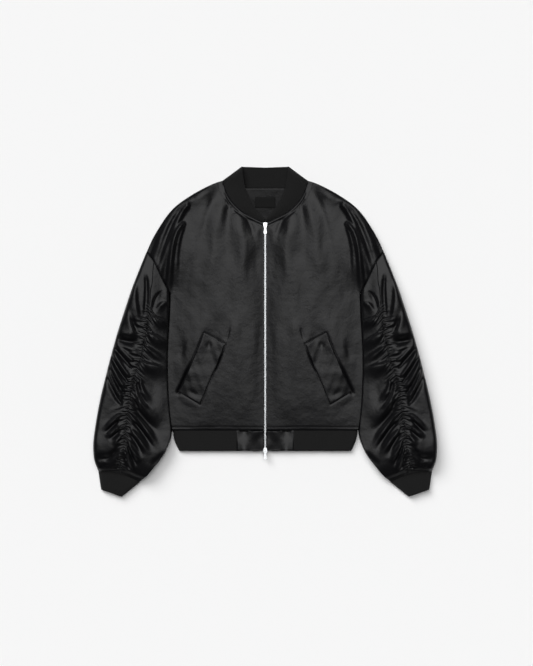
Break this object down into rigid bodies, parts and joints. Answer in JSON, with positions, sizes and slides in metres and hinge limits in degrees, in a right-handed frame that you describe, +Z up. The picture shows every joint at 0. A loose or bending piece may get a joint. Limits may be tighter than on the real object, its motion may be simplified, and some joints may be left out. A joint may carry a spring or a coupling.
{
  "type": "ruched-sleeve bomber jacket laid flat",
  "caption": "Satin bomber jacket laid flat on its back and zipped up, with ruched balloon sleeves, rib collar, cuffs and hem band, slanted welt pockets and a two-way zip.",
  "frame": {"origin": "on the table under the middle of the jacket's bounding box", "axes": "+X to the wearer's left, across both sleeves; +Y along the zip towards the collar; +Z up from the table out of the front"},
  "size_m": [0.77, 0.742, 0.0379],
  "materials": {
    "satin": "black heavy satin with a soft broad sheen",
    "rib_knit": "black matte rib knit",
    "zip_cloth": "black woven tape",
    "zip_metal": "polished silver-coloured metal",
    "label_cloth": "black woven label, bare"
  },
  "bodies": {
    "jacket": {"body_back": "satin", "front_left": "satin", "front_right": "satin", "sleeve_outer_left": "satin", "sleeve_outer_right": "satin", "sleeve_inner_left": "satin", "sleeve_inner_right": "satin", "cuff_left": "rib_knit", "cuff_right": "rib_knit", "collar": "rib_knit", "hem_rib": "rib_knit", "hem_placket_left": "satin", "hem_placket_right": "satin", "pocket_welt_left": "satin", "pocket_welt_right": "satin", "zip_tape_left": "zip_cloth", "zip_tape_right": "zip_cloth", "zip_chain": "zip_metal", "zip_slider_top": "zip_metal", "zip_slider_bottom": "zip_metal", "neck_facing": "satin", "neck_tape": "zip_cloth", "neck_label": "label_cloth"},
    "top_pull": {"zip_pull_top": "zip_metal"},
    "bottom_pull": {"zip_pull_bottom": "zip_metal"}
  },
  "joints": [
    {"name": "top_pull_swing", "type": "hinge", "parent": "jacket", "child": "top_pull", "pos_m": [0, 0.2385, 0.01934], "axis": [-1, 0, 0], "range_deg": [0, 150]},
    {"name": "bottom_pull_swing", "type": "hinge", "parent": "jacket", "child": "bottom_pull", "pos_m": [0, -0.266, 0.01425], "axis": [-1, 0, 0], "range_deg": [0, 150]}
  ]
}
